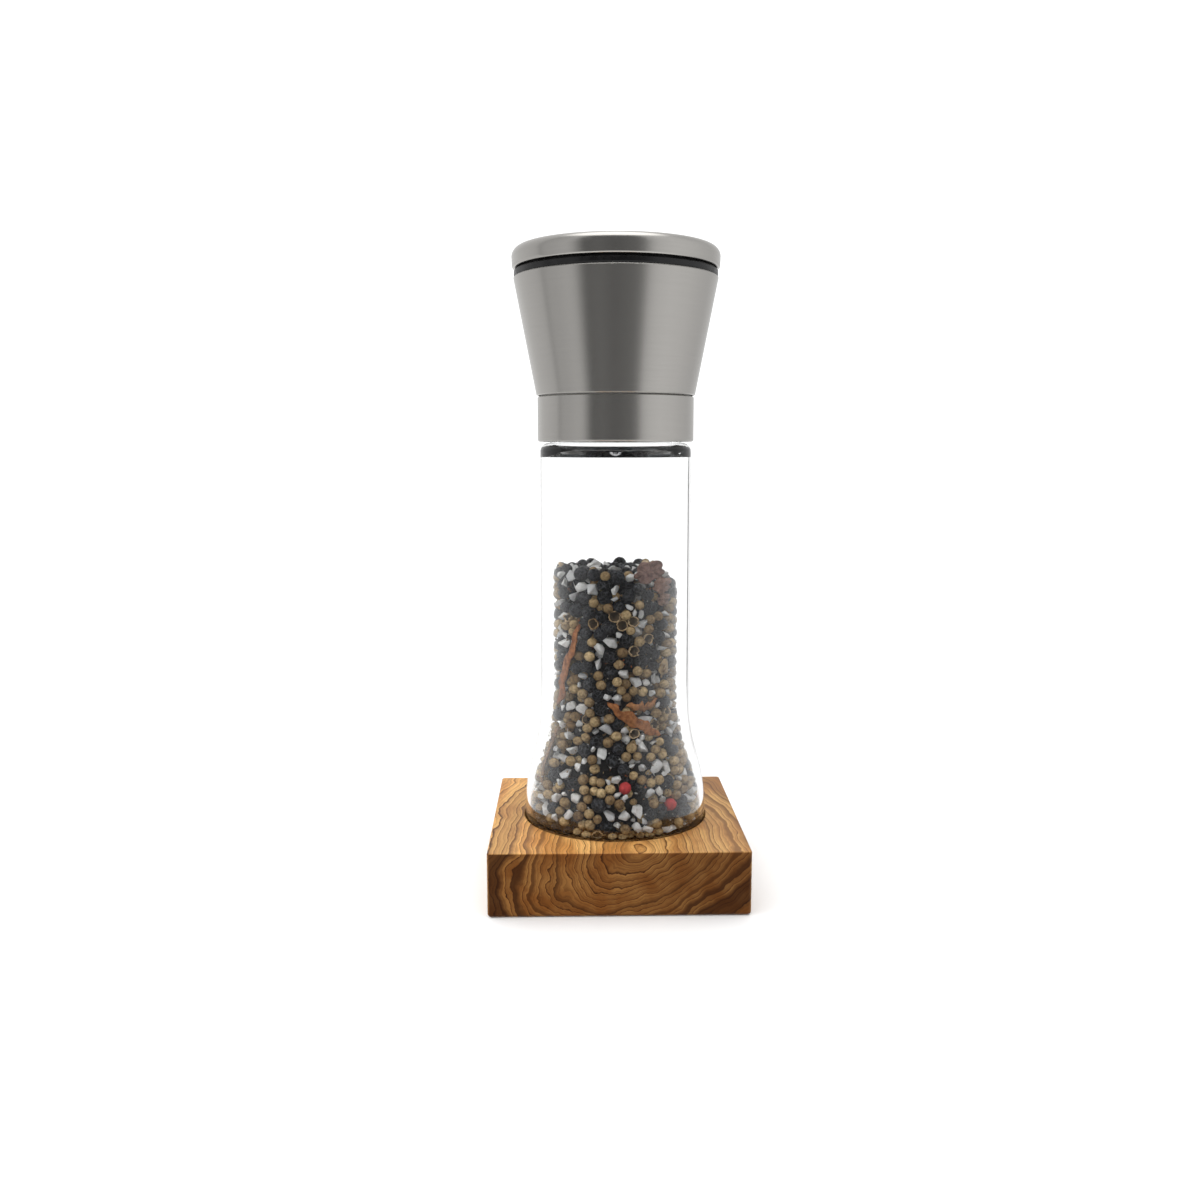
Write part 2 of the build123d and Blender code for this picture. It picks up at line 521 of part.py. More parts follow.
os.makedirs("parts", exist_ok=True)
for make in PARTS:
    export_step(single(make()), f"parts/{make.__name__}.step")
    print(make.__name__, "written")
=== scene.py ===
import json
import math

import bmesh
import bpy
import numpy as np
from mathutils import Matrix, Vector
from mathutils.bvhtree import BVHTree


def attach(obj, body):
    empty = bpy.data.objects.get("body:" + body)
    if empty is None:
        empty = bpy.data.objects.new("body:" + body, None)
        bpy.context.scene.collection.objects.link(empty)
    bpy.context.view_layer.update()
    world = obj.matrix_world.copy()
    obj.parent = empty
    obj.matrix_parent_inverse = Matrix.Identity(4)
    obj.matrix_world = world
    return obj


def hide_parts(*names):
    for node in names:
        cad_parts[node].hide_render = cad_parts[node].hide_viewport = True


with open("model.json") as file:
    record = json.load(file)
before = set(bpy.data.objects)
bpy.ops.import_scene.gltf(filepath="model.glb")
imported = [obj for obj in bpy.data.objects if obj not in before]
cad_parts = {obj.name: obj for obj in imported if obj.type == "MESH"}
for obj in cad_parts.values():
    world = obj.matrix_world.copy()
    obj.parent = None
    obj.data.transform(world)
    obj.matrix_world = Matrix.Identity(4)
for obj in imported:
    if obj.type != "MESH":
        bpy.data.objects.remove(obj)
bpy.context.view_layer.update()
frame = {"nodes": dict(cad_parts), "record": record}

MM = 0.001
NODES = frame["nodes"]
rng = np.random.default_rng(11)


# ---------------------------------------------------------------- shader helper
class Shader:
    """Builds one node tree. Inputs are values or other nodes' outputs."""

    def __init__(self, tree):
        self.tree = tree
        tree.nodes.clear()

    def node(self, kind, inputs=None, **settings):
        made = self.tree.nodes.new("ShaderNode" + kind)
        for key, value in settings.items():
            setattr(made, key, value)
        for key, value in (inputs or {}).items():
            self.put(made.inputs[key], value)
        return made

    def put(self, socket, value):
        if isinstance(value, bpy.types.NodeSocket):
            self.tree.links.new(value, socket)
        elif hasattr(socket.default_value, "__len__") and len(socket.default_value) == 4 and len(value) == 3:
            socket.default_value = (*value, 1.0)
        else:
            socket.default_value = value

    def math(self, operation, a, b=0.0, c=0.0):
        return self.node("Math", {0: a, 1: b, 2: c}, operation=operation).outputs[0]

    def vector(self, operation, a, b=(0, 0, 0)):
        return self.node("VectorMath", {0: a, 1: b}, operation=operation).outputs[0]

    def split(self, vector):
        return self.node("SeparateXYZ", {0: vector}).outputs[:3]

    def join(self, x, y, z):
        return self.node("CombineXYZ", {0: x, 1: y, 2: z}).outputs[0]

    def step(self, value, low, high, to_low=0.0, to_high=1.0):
        """Smooth step of value from low to high."""
        inputs = {"Value": value, "From Min": low, "From Max": high, "To Min": to_low, "To Max": to_high}
        return self.node("MapRange", inputs, interpolation_type="SMOOTHSTEP").outputs[0]

    def noise(self, vector, scale, detail=2.0, rough=0.5):
        inputs = {"Vector": vector, "Scale": scale, "Detail": detail, "Roughness": rough}
        return self.node("TexNoise", inputs).outputs[0]

    def line_noise(self, value, scale, detail=1.0):
        inputs = {"W": value, "Scale": scale, "Detail": detail}
        return self.node("TexNoise", inputs, noise_dimensions="1D").outputs[0]

    def random(self, value):
        return self.node("TexWhiteNoise", {"W": value}, noise_dimensions="1D").outputs[0]

    def mix(self, share, a, b, blend="MIX"):
        made = self.node("Mix", data_type="RGBA", blend_type=blend)
        for key, value in ((0, share), (6, a), (7, b)):
            self.put(made.inputs[key], value)
        return made.outputs[2]

    def bump(self, height, distance, strength=1.0):
        return self.node("Bump", {"Height": height, "Distance": distance, "Strength": strength}).outputs[0]

    def millimetres(self):
        """Position on the object in millimetres of the row frame."""
        place = self.node("TexCoord").outputs["Object"]
        return self.node("VectorMath", {0: place, "Scale": 1 / MM}, operation="SCALE").outputs[0]

    def surface(self, **inputs):
        named = {key.replace("_", " "): value for key, value in inputs.items()}
        shader = self.node("BsdfPrincipled", named)
        out = self.node("OutputMaterial")
        self.tree.links.new(shader.outputs[0], out.inputs[0])


def material(name, tone):
    made = bpy.data.materials.new(name)
    made.use_nodes = True
    made.diffuse_color = (*tone, 1.0)
    return made, Shader(made.node_tree)


# ---------------------------------------------------------------- materials of the CAD nodes
BLOCK_TOP_Z = 20.0
HEART_X, HEART_Y = 6.0, -38.0


def olive_wood():
    """Nested shells of growth round a heart on the front top edge, cut by every face of the block."""
    made, s = material("olive_wood", (0.72, 0.47, 0.24))
    place = s.millimetres()
    x, y, z = s.split(place)
    stretched = s.vector("MULTIPLY", place, (1.0, 0.45, 1.0))
    depth = s.math("SUBTRACT", BLOCK_TOP_Z, z)
    across = s.math("ADD", s.math("SUBTRACT", x, HEART_X), s.math("MULTIPLY", depth, 0.55))
    down = s.math("MULTIPLY", depth, 1.3)
    back = s.math("DIVIDE", s.math("SUBTRACT", y, HEART_Y), 2.5)
    shell = s.node("VectorMath", {0: s.join(across, down, back)}, operation="LENGTH").outputs["Value"]
    for scale, amount in ((0.055, 9.0), (0.22, 2.4), (0.9, 0.7)):
        wobble = s.math("SUBTRACT", s.noise(stretched, scale), 0.5)
        shell = s.math("MULTIPLY_ADD", wobble, amount, shell)
    uneven = s.math("SUBTRACT", s.line_noise(shell, 0.23, 2.0), 0.5)
    turns = s.math("DIVIDE", s.math("MULTIPLY_ADD", uneven, 4.5, shell), 2.35)
    ring, phase = s.math("FLOOR", turns), s.math("FRACT", turns)
    strength = s.random(ring)
    width = s.math("MULTIPLY_ADD", s.random(s.math("ADD", ring, 31.0)), -0.34, 0.82)
    late = s.math("MULTIPLY", s.step(phase, width, 0.97), s.step(phase, 0.97, 1.0, 1.0, 0.0))
    line = s.math("MULTIPLY", late, s.math("MULTIPLY_ADD", strength, 0.55, 0.45))
    fine = s.math("MULTIPLY", s.step(s.math("FRACT", s.math("MULTIPLY", turns, 3.0)), 0.4, 0.95), 0.3)
    _, normal_y, _ = s.split(s.node("TexCoord").outputs["Normal"])
    end_grain_and_shade = s.step(s.math("ABSOLUTE", normal_y), 0.55, 0.95)
    dark_band = s.step(s.line_noise(s.math("ADD", shell, 11.0), 0.085, 2.0), 0.45, 0.6)
    dark_band = s.math("MULTIPLY", dark_band, s.step(shell, 9.0, 26.0))
    dark_band = s.math("MULTIPLY", dark_band, s.math("MULTIPLY_ADD", end_grain_and_shade, 0.45, 0.42))
    cloud = s.noise(stretched, 0.12, 3.0)
    tone = s.mix(s.step(cloud, 0.35, 0.65), (0.66, 0.30, 0.078), (0.98, 0.56, 0.19))
    tone = s.mix(s.step(x, -20.0, 34.0), tone, (0.72, 0.74, 0.78), "MULTIPLY")
    early = s.mix(s.math("MULTIPLY", phase, 0.6), tone, (0.38, 0.155, 0.038))
    banded = s.mix(dark_band, early, (0.15, 0.058, 0.016))
    lined = s.mix(s.math("MAXIMUM", line, fine), banded, (0.075, 0.026, 0.008))
    fibre = s.noise(s.vector("MULTIPLY", place, (2.6, 0.28, 2.6)), 1.0, 3.0, 0.6)
    pored = s.mix(s.step(fibre, 0.6, 0.78, 0.0, 0.35), lined, (0.14, 0.06, 0.022))
    # painted shade: the front and back faces are darkened, partly for the end grain's deeper hue and partly
    # as shade on the front face
    final = s.mix(end_grain_and_shade, pored, (0.52, 0.41, 0.33), "MULTIPLY")
    height = s.math("MULTIPLY_ADD", line, -0.4, fibre)
    s.surface(Base_Color=final, Roughness=s.step(cloud, 0.2, 0.8, 0.4, 0.52), IOR=1.5, Specular_IOR_Level=0.2,
              Normal=s.bump(height, 0.00006, 0.6))
    return made


def jar_glass():
    made, s = material("jar_glass", (0.9, 0.92, 0.92))
    place = s.millimetres()
    tint = s.mix(s.noise(place, 0.04, 1.0), (1.0, 1.0, 1.0), (0.985, 0.992, 0.99))
    wave = s.bump(s.noise(s.vector("MULTIPLY", place, (1, 1, 0.25)), 0.09, 1.0), 0.00006, 0.25)
    s.surface(Base_Color=tint, Roughness=0.0, IOR=1.5, Transmission_Weight=1.0, Normal=wave)
    return made


def brushed_steel(name, rough, stretch, marks):
    """Satin steel with fine marks that run round the axis."""
    made, s = material(name, (0.62, 0.61, 0.58))
    place = s.millimetres()
    x, y, z = s.split(place)
    radius = s.node("VectorMath", {0: s.join(x, y, 0.0)}, operation="LENGTH").outputs["Value"]
    away = s.math("MAXIMUM", radius, 0.5)
    around = s.join(s.math("DIVIDE", x, away), s.math("DIVIDE", y, away), 0.0)
    up = s.math("ADD", z, radius)
    streaks = s.noise(s.vector("ADD", s.vector("MULTIPLY", around, (2.2, 2.2, 0)),
                               s.join(0.0, 0.0, s.math("MULTIPLY", up, 14.0))), 1.0, 3.0, 0.6)
    soft = s.noise(s.vector("ADD", s.vector("MULTIPLY", around, (1.2, 1.2, 0)),
                            s.join(0.0, 0.0, s.math("MULTIPLY", up, 1.7))), 1.0, 2.0)
    tone = s.mix(s.step(streaks, 0.3, 0.7), (0.617, 0.598, 0.567), (0.637, 0.619, 0.589))
    tone = s.mix(s.step(soft, 0.35, 0.65, 0.0, 0.07), tone, (0.5, 0.485, 0.46))
    s.surface(Base_Color=tone, Metallic=1.0, Roughness=s.step(streaks, 0.3, 0.7, rough - 0.01, rough + 0.01),
              Anisotropic=stretch, Anisotropic_Rotation=0.25, Normal=s.bump(streaks, marks, 0.3),
              Tangent=s.node("Tangent", direction_type="RADIAL", axis="Z").outputs[0])
    return made


def plain(name, low, high, rough, metallic=0.0, grain=1.2, relief=0.00002, spread=(0.35, 0.65)):
    """A finish whose colour and roughness drift between two values, with a fine moulded or turned grain."""
    made, s = material(name, high)
    place = s.millimetres()
    drift = s.step(s.noise(place, grain * 0.25, 3.0), *spread)
    grains = s.noise(place, grain * 3.0, 2.0)
    rise = s.step(drift, 0.0, 1.0, rough - 0.05, rough + 0.06)
    s.surface(Base_Color=s.mix(drift, low, high), Metallic=metallic, Roughness=rise, IOR=1.48,
              Normal=s.bump(grains, relief, 0.5))
    return made


FINISHES = {
    "olive_wood": olive_wood(),
    "jar_glass": jar_glass(),
    "brushed_steel": brushed_steel("brushed_steel", 0.25, 0.7, 0.0000015),
    "hardware_steel": plain("hardware_steel", (0.5, 0.5, 0.51), (0.62, 0.62, 0.63), 0.24, 1.0),
    "black_plastic": plain("black_plastic", (0.006, 0.006, 0.007), (0.014, 0.014, 0.015), 0.3),
    "grey_plastic": plain("grey_plastic", (0.085, 0.085, 0.09), (0.115, 0.115, 0.12), 0.45),
    "white_plastic": plain("white_plastic", (0.76, 0.76, 0.73), (0.84, 0.84, 0.81), 0.4),
    "silicone": plain("silicone", (0.7, 0.69, 0.66), (0.78, 0.77, 0.74), 0.55),
    "seal_rubber": plain("seal_rubber", (0.012, 0.012, 0.012), (0.02, 0.02, 0.02), 0.6),
    "burr_ceramic": plain("burr_ceramic", (0.8, 0.78, 0.73), (0.88, 0.86, 0.82), 0.5, grain=2.0),
    "brass": plain("brass", (0.62, 0.44, 0.17), (0.74, 0.55, 0.25), 0.27, 1.0),
}


def give(node, finish):
    """Makes finish the only material of a CAD node."""
    materials = NODES[node].data.materials
    materials.clear()
    materials.append(finish)


for row in frame["record"]["subparts"]:
    if row["material_slot"] in FINISHES:
        give(row["node"], FINISHES[row["material_slot"]])
# painted light: the black plastic thread ring is coloured grey for the light seen on it through the jar's
# shoulder
give("thread_ring", plain("thread_ring_painted_light", (0.13, 0.146, 0.158), (0.3, 0.33, 0.35), 0.35, grain=0.7))
give("lid_shell", brushed_steel("lid_steel", 0.2, 0.2, 0.000001))


# ---------------------------------------------------------------- materials of the spices
def spice_finish(name, tone, rough, mottle, scale, relief, crease=0.0, through=0.0, painted_edge_shade=0.0):
    """Each grain's own tint, mottled; crease adds dark wrinkles, and a painted shade darkens the edges that
    face away, for the shadow between the grains.
    """
    made, s = material(name, tone)
    place = s.millimetres()
    tint = s.node("Attribute", attribute_name="tint").outputs["Color"]
    patch = s.noise(place, scale, 3.0, 0.6)
    darker = s.mix(s.step(patch, 0.3, 0.75, 0.0, mottle), tint, (0.25, 0.2, 0.16), "MULTIPLY")
    height = patch
    if crease:
        cell = s.node("TexVoronoi", {"Vector": place, "Scale": crease}, feature="DISTANCE_TO_EDGE").outputs[0]
        height = s.math("ADD", s.step(cell, 0.0, 0.16), s.math("MULTIPLY", patch, 0.4))
        darker = s.mix(s.step(cell, 0.02, 0.18, 0.6, 0.0), darker, (0.085, 0.09, 0.1))
    # painted shade: edges that face away from the view are darkened, for the shadow between the grains
    rim = s.step(s.node("LayerWeight", {"Blend": 0.5}).outputs["Facing"], 0.35, 1.0, 0.0, painted_edge_shade)
    darker = s.mix(rim, darker, (0.12, 0.08, 0.05), "MULTIPLY")
    s.surface(Base_Color=darker, Roughness=s.step(patch, 0.3, 0.7, rough - 0.08, rough + 0.08), IOR=1.48,
              Specular_IOR_Level=0.15, Transmission_Weight=through, Normal=s.bump(height, relief, 0.8))
    return made


SEED = spice_finish("coriander", (0.5, 0.37, 0.2), 0.6, 0.8, 1.3, 0.0002, painted_edge_shade=0.95)
HUSK = spice_finish("husk", (0.55, 0.42, 0.26), 0.6, 0.6, 1.2, 0.00012, painted_edge_shade=0.6)
PEPPER = spice_finish("black_pepper", (0.03, 0.03, 0.035), 0.5, 0.5, 0.9, 0.0003, crease=0.8)
PINK = spice_finish("pink_pepper", (0.5, 0.05, 0.05), 0.42, 0.5, 0.8, 0.0001)
SALT = spice_finish("salt", (0.85, 0.86, 0.87), 0.3, 0.3, 0.6, 0.00005, through=0.15, painted_edge_shade=0.25)
LEAF = spice_finish("dried_leaf", (0.3, 0.15, 0.08), 0.7, 0.85, 0.7, 0.0003, painted_edge_shade=0.3)


# ---------------------------------------------------------------- the jar's clear space
MID_JAR_Z, SHOULDER_Z = 60, 139.0
GAP = 0.3  # between the grains and the glass
SHELL = 7.0  # how deep the layer of loose grains goes
HALF_WIDE, FILL_LIMIT_Z = 28, 104  # a box round the whole fill
HEAP_TOP_Z, HEAP_FALL = 101.8, 8.0
FALL_START_X, FALL_WIDE = 13.0, 6.0


def jar_wall():
    """The jar's floor, and heights with the radius of the inside at each, in millimetres."""
    mesh = NODES["glass_jar"].data
    tree = BVHTree.FromPolygons([v.co for v in mesh.vertices], [p.vertices[:] for p in mesh.polygons])
    floor = tree.ray_cast(Vector((0, 0, MID_JAR_Z * MM)), Vector((0, 0, -1)))[0].z / MM
    heights = np.arange(floor + 0.2, SHOULDER_Z, 0.4)
    radii = []
    for h in heights:
        hit = tree.ray_cast(Vector((0, 0, h * MM)), Vector((0.9239, 0.3827, 0)))[0]
        radii.append(Vector(hit.xy).length / MM)
    return floor, heights, np.array(radii)


GLASS_FLOOR_Z, WALL_Z, WALL_R = jar_wall()
FLOOR_Z = GLASS_FLOOR_Z + GAP


def wall(z):
    """The largest radius that a grain may reach at height z."""
    return np.interp(z, WALL_Z, WALL_R) - GAP


def fill_top(x, y):
    """The heap's surface, which falls away to the right."""
    fall = np.clip((x - FALL_START_X) / FALL_WIDE, 0, 1)
    swell = np.sin(0.31 * x + 1.0) * np.cos(0.27 * y + 0.4)
    return HEAP_TOP_Z - HEAP_FALL * fall * fall * (3 - 2 * fall) + swell


def at(azimuth, z, depth):
    """A point depth inside the wall. Azimuth 0 is the front, and 90 is the right."""
    a, r = math.radians(azimuth), float(wall(z)) - depth
    return (r * math.sin(a), -r * math.cos(a), z)


# ---------------------------------------------------------------- where the grains lie
KINDS = ("seed", "pepper", "salt", "husk", "pink")
RADII = {
    "seed": (1.42, 1.72), "pepper": (1.85, 2.45), "salt": (1.05, 2.5), "husk": (1.65, 1.9),
    "pink": (1.9, 2.1),
}
BLOCKER_R = 0.45  # of a point on a dried piece, which pushes the grains away
PLACED_LOOSE = 0.15  # how readily a placed grain moves; a random one has 1
FILL_SHARE = 0.60  # of the layer's volume
BALL_VOLUME = 4.19  # of radius 1

# heights, each with the share of every kind there
MIXES = (
    (0.0, (0.56, 0.14, 0.27, 0.03, 0.0)), (45.0, (0.52, 0.17, 0.28, 0.03, 0.0)),
    (70.0, (0.40, 0.25, 0.31, 0.04, 0.0)), (86.0, (0.24, 0.38, 0.32, 0.06, 0.0)),
    (110.0, (0.18, 0.46, 0.33, 0.03, 0.0)),
)

# grains that have their own place: azimuth, height and radius
PLACED = {
    "salt": (
        (-43, 93.9, 2.0), (-25, 97.0, 1.9), (-48, 98.5, 1.8), (6, 72.0, 2.3), (-45, 58.7, 1.9),
        (30, 55.5, 2.2), (43, 39.2, 2.2), (62, 28.7, 2.3), (-11, 75.1, 2.2), (-3, 96.5, 1.8),
        (22, 89.0, 1.7), (-16, 79.5, 1.9), (24, 33.0, 1.8), (-50, 30.0, 2.2), (-38, 26.5, 2.0),
        (33, 68.0, 1.7),
    ),
    "husk": (
        (-51, 88.6, 1.8), (-26, 87.5, 1.85), (-6, 88.5, 1.9), (2, 87.3, 1.8), (35, 55.2, 1.9),
        (12, 87.0, 1.75),
    ),
    "pink": (
        (4, 34.8, 1.95), (42, 28.6, 2.0), (118, 62.0, 1.9), (-112, 83.0, 1.95), (172, 41.0, 2.0),
        (-95, 33.0, 1.9), (96, 24.0, 1.95), (-160, 70.0, 1.9),
    ),
    "pepper": (
        (-38, 91.0, 2.35), (-14, 95.0, 2.3), (14, 95.5, 2.4), (28, 91.5, 2.5), (-30, 81.0, 2.3),
        (6, 81.5, 2.45), (40, 82.0, 2.4), (20, 76.5, 2.3), (-24, 66.0, 2.3), (24, 61.5, 2.4),
        (-12, 29.0, 2.4), (-4, 45.0, 2.2),
    ),
}


def settle(blockers, rounds=110):
    """Kinds, centres and radii of the grains behind the glass, from the floor to the heap's surface."""
    kinds, centres, radii, loose = [], [], [], []
    for kind, spots in PLACED.items():
        for azimuth, z, r in spots:
            kinds.append(KINDS.index(kind))
            centres.append(at(azimuth, z, r))
            radii.append(r)
            loose.append(PLACED_LOOSE)
    zone_z = np.array([m[0] for m in MIXES])
    shares = np.array([m[1] for m in MIXES])
    wanted = FILL_SHARE * shell_volume()
    volume = 0.0
    while volume < wanted:
        p = rng.uniform((-HALF_WIDE, -HALF_WIDE, FLOOR_Z), (HALF_WIDE, HALF_WIDE, FILL_LIMIT_Z))
        if not 0 < depth_of(p[None])[0] < SHELL:
            continue
        mix = np.array([np.interp(p[2], zone_z, shares[:, k]) for k in range(len(KINDS))])
        kind = int(rng.choice(len(KINDS), p=mix / mix.sum()))
        low, high = RADII[KINDS[kind]]
        r = rng.uniform(low, high) if KINDS[kind] != "salt" else low + (high - low) * rng.random() ** 1.4
        kinds.append(kind)
        centres.append(p)
        radii.append(r)
        loose.append(1.0)
        volume += BALL_VOLUME * r ** 3
    count = len(kinds)
    p = np.vstack([centres, blockers]).astype(np.float32)
    r = np.append(radii, np.full(len(blockers), BLOCKER_R)).astype(np.float32)
    loose = np.append(loose, np.zeros(len(blockers)))[:, None]
    for i in range(rounds):
        if i % 10 == 0:
            a, b = near_pairs(p, r, 1.6)
        apart = p[a] - p[b]
        distance = np.linalg.norm(apart, axis=1) + 1e-6
        push = np.clip(0.985 * (r[a] + r[b]) - distance, 0, None)[:, None] * apart / distance[:, None] * 0.5
        move = np.zeros_like(p)
        np.add.at(move, a, push)
        np.add.at(move, b, -push)
        p += move * loose
        keep_in(p[:count], r[:count])
    return np.array(kinds), p[:count], r[:count]


def depth_of(p):
    """How far each point lies inside the fill: from the wall, the heap's surface or, stretched, the floor."""
    side = wall(p[:, 2]) - np.hypot(p[:, 0], p[:, 1])
    below = fill_top(p[:, 0], p[:, 1]) - p[:, 2]
    above = (p[:, 2] - FLOOR_Z) * 1.6 + 0.01
    return np.minimum(np.minimum(side, below), above)


def shell_volume():
    """The volume of the layer of loose grains, from a count of seeded random points."""
    low, high = (-HALF_WIDE, -HALF_WIDE, FLOOR_Z), (HALF_WIDE, HALF_WIDE, FILL_LIMIT_Z)
    depth = depth_of(np.random.default_rng(3).uniform(low, high, (60000, 3)))
    box = (2 * HALF_WIDE) * (2 * HALF_WIDE) * (FILL_LIMIT_Z - FLOOR_Z)
    return box * ((depth > 0) & (depth < SHELL)).mean()


def near_pairs(p, r, spare):
    """Indices of the pairs of balls that are less than spare apart, looked for in blocks of rows."""
    found_a, found_b = [], []
    for start in range(0, len(p), 400):
        rows = slice(start, start + 400)
        distance = np.linalg.norm(p[rows, None] - p[None], axis=2)
        a, b = np.nonzero(distance < r[rows, None] + r[None] + spare)
        a += start
        keep = a < b
        found_a.append(a[keep])
        found_b.append(b[keep])
    return np.concatenate(found_a), np.concatenate(found_b)


def keep_in(p, r):
    """Brings grains back inside the glass, and pushes them out of the hidden middle."""
    p[:, 2] = np.clip(p[:, 2], FLOOR_Z + r, fill_top(p[:, 0], p[:, 1]) - 0.35 * r)
    side = np.hypot(p[:, 0], p[:, 1]) + 1e-6
    lean = 0.55 * np.clip(FLOOR_Z + 4.5 - p[:, 2], 0, None)
    outer = np.minimum(wall(p[:, 2]), wall(p[:, 2] + 0.4 * r)) - r * 1.01 - lean * 0.2
    scale = np.minimum(1.0, outer / side)
    deep = (depth_of(p) > SHELL) & (p[:, 2] > FLOOR_Z + 6)
    scale = np.where(deep, (side + 0.4) / side, scale)
    p[:, 0] *= scale
    p[:, 1] *= scale


# ---------------------------------------------------------------- grain shapes, of radius 1
def ball(around, rings, shape):
    """A closed ball as vertices and triangles; shape(azimuth, polar) gives the radius."""
    azimuth = np.arange(around) * 2 * math.pi / around
    polar = (np.arange(1, rings) * math.pi / rings)[:, None]
    r = shape(azimuth[None], polar)
    grid = np.stack([r * np.sin(polar) * np.cos(azimuth), r * np.sin(polar) * np.sin(azimuth),
                     r * np.cos(polar)], -1).reshape(-1, 3)
    ends = np.array([[0, 0, shape(0.0, 0.0)], [0, 0, -shape(0.0, math.pi)]])
    faces = []
    for i in range(rings - 2):
        for j in range(around):
            a, b = i * around + j, i * around + (j + 1) % around
            faces += [(a, a + around, b + around), (a, b + around, b)]
    top, bottom, last = len(grid), len(grid) + 1, (rings - 2) * around
    for j in range(around):
        k = (j + 1) % around
        faces += [(top, j, k), (bottom, last + k, last + j)]
    return np.vstack([grid, ends]), np.array(faces)


def seed_shape(random):
    """A coriander seed: ten ribs from pole to pole, and a small tip."""
    phase, tall = random.uniform(0, 1), random.uniform(0.97, 1.08)
    wave = random.uniform(0.02, 0.04)

    def radius(a, p):
        ribs = wave * np.cos(10 * a + phase) * np.sin(p)
        return 1 + ribs + 0.05 * np.exp(-(p / 0.25) ** 2)

    v, f = ball(20, 9, radius)
    return v * (1, 1, tall), f


def pepper_shape(random):
    """A peppercorn: a ball with a net of shallow wrinkles."""
    k = random.normal(0, 2.6, (7, 3))
    shift = random.uniform(0, 6.3, 7)

    def radius(a, p):
        d = np.stack(np.broadcast_arrays(np.sin(p) * np.cos(a), np.sin(p) * np.sin(a), np.cos(p)), -1)
        return 1.03 - 0.13 * np.mean(np.abs(np.cos(d @ k.T + shift)) ** 3, -1)

    return ball(20, 12, radius)


def hull(points, bevel=0.0):
    """The convex hull of points as vertices and triangles, its edges bevelled a little."""
    work = bmesh.new()
    for p in points:
        work.verts.new(p)
    made = bmesh.ops.convex_hull(work, input=work.verts)
    inner = {g for g in made["geom_interior"] + made["geom_unused"] if isinstance(g, bmesh.types.BMVert)}
    bmesh.ops.delete(work, geom=list(inner), context="VERTS")
    if bevel:
        bmesh.ops.dissolve_limit(work, angle_limit=0.3, verts=work.verts, edges=work.edges)
        bmesh.ops.bevel(work, geom=list(work.edges), offset=bevel, segments=1, affect="EDGES")
    bmesh.ops.triangulate(work, faces=work.faces)
    bmesh.ops.recalc_face_normals(work, faces=work.faces)
    work.verts.index_update()
    v = np.array([tuple(p.co) for p in work.verts])
    f = np.array([[p.index for p in face.verts] for face in work.faces])
    work.free()
    return v, f


def salt_shape(random):
    """A broken crystal: an uneven chunk with flat facets and softened edges."""
    size = np.array([random.uniform(0.6, 0.8), random.uniform(0.7, 0.95), random.uniform(0.9, 1.35)])
    points = random.normal(0, 1, (13, 3))
    points = points / np.linalg.norm(points, axis=1)[:, None] * random.uniform(0.85, 1.1, (13, 1)) * size
    return hull(points / np.abs(points).max() * 1.12, 0.08)


HUSK_AROUND, HUSK_RINGS = 20, 7


def husk_painted_shades():
    """How light each vertex of a husk is: dull outside, pale at the rim, and dark in the hollow, darkest at
    its bottom, which is painted shade.
    """
    outer = np.linspace(0.9, 1.0, HUSK_RINGS)
    inner = np.linspace(0.1, 0.35, HUSK_RINGS)
    outer[-1] = inner[-1] = 1.25
    return np.append(np.repeat(np.concatenate([outer, inner]), HUSK_AROUND), (0.9, 0.1))[:, None]


def husk_shape(random):
    """Half a hollow seed: a thin ribbed cup with a jagged rim."""
    around, rings, thick = HUSK_AROUND, HUSK_RINGS, 0.16
    jag = 1.65 + 0.16 * random.normal(0, 1, around)
    azimuth = np.arange(around) * 2 * math.pi / around
    layers = []
    for side in (1.0, 1.0 - thick):
        for i in range(1, rings + 1):
            p = jag * i / rings
            r = side * (1 + 0.035 * np.cos(10 * azimuth))
            layers.append(np.stack([r * np.sin(p) * np.cos(azimuth), r * np.sin(p) * np.sin(azimuth),
                                    -r * np.cos(p)], -1))
    v = np.vstack([*layers, [[0, 0, -1.0], [0, 0, -1.0 + thick]]])
    faces = []
    hollow = rings * around
    for j in range(around):
        k = (j + 1) % around
        for i in range(rings - 1):
            a, b = i * around, hollow + i * around
            faces += [(a + j, a + k, a + around + k), (a + j, a + around + k, a + around + j)]
            faces += [(b + j, b + around + k, b + k), (b + j, b + around + j, b + around + k)]
        out, inn = (rings - 1) * around, hollow + (rings - 1) * around
        faces += [(out + j, out + k, inn + k), (out + j, inn + k, inn + j)]
        faces += [(2 * hollow, k, j), (2 * hollow + 1, hollow + j, hollow + k)]
    return v, np.array(faces)


def crumb_shape(random):
    """A flat broken chip."""
    points = random.normal(0, 1, (9, 3))
    points = points / np.linalg.norm(points, axis=1)[:, None] * random.uniform(0.6, 1.0, (9, 1))
    return hull(points * (1, random.uniform(0.5, 1), random.uniform(0.3, 0.8)))


def turn(random):
    """A random rotation matrix."""
    q, t = np.linalg.qr(random.normal(0, 1, (3, 3)))
    q = q * np.sign(np.diag(t))
    return q if np.linalg.det(q) > 0 else -q


def facing(direction, random, spread=0.4):
    """A rotation that takes +Z roughly to direction."""
    z = np.array(direction, float) + random.normal(0, spread, 3)
    z /= np.linalg.norm(z)
    x = np.cross(z, random.normal(0, 1, 3))
    x /= np.linalg.norm(x)
    return np.stack([x, np.cross(z, x), z], 1)


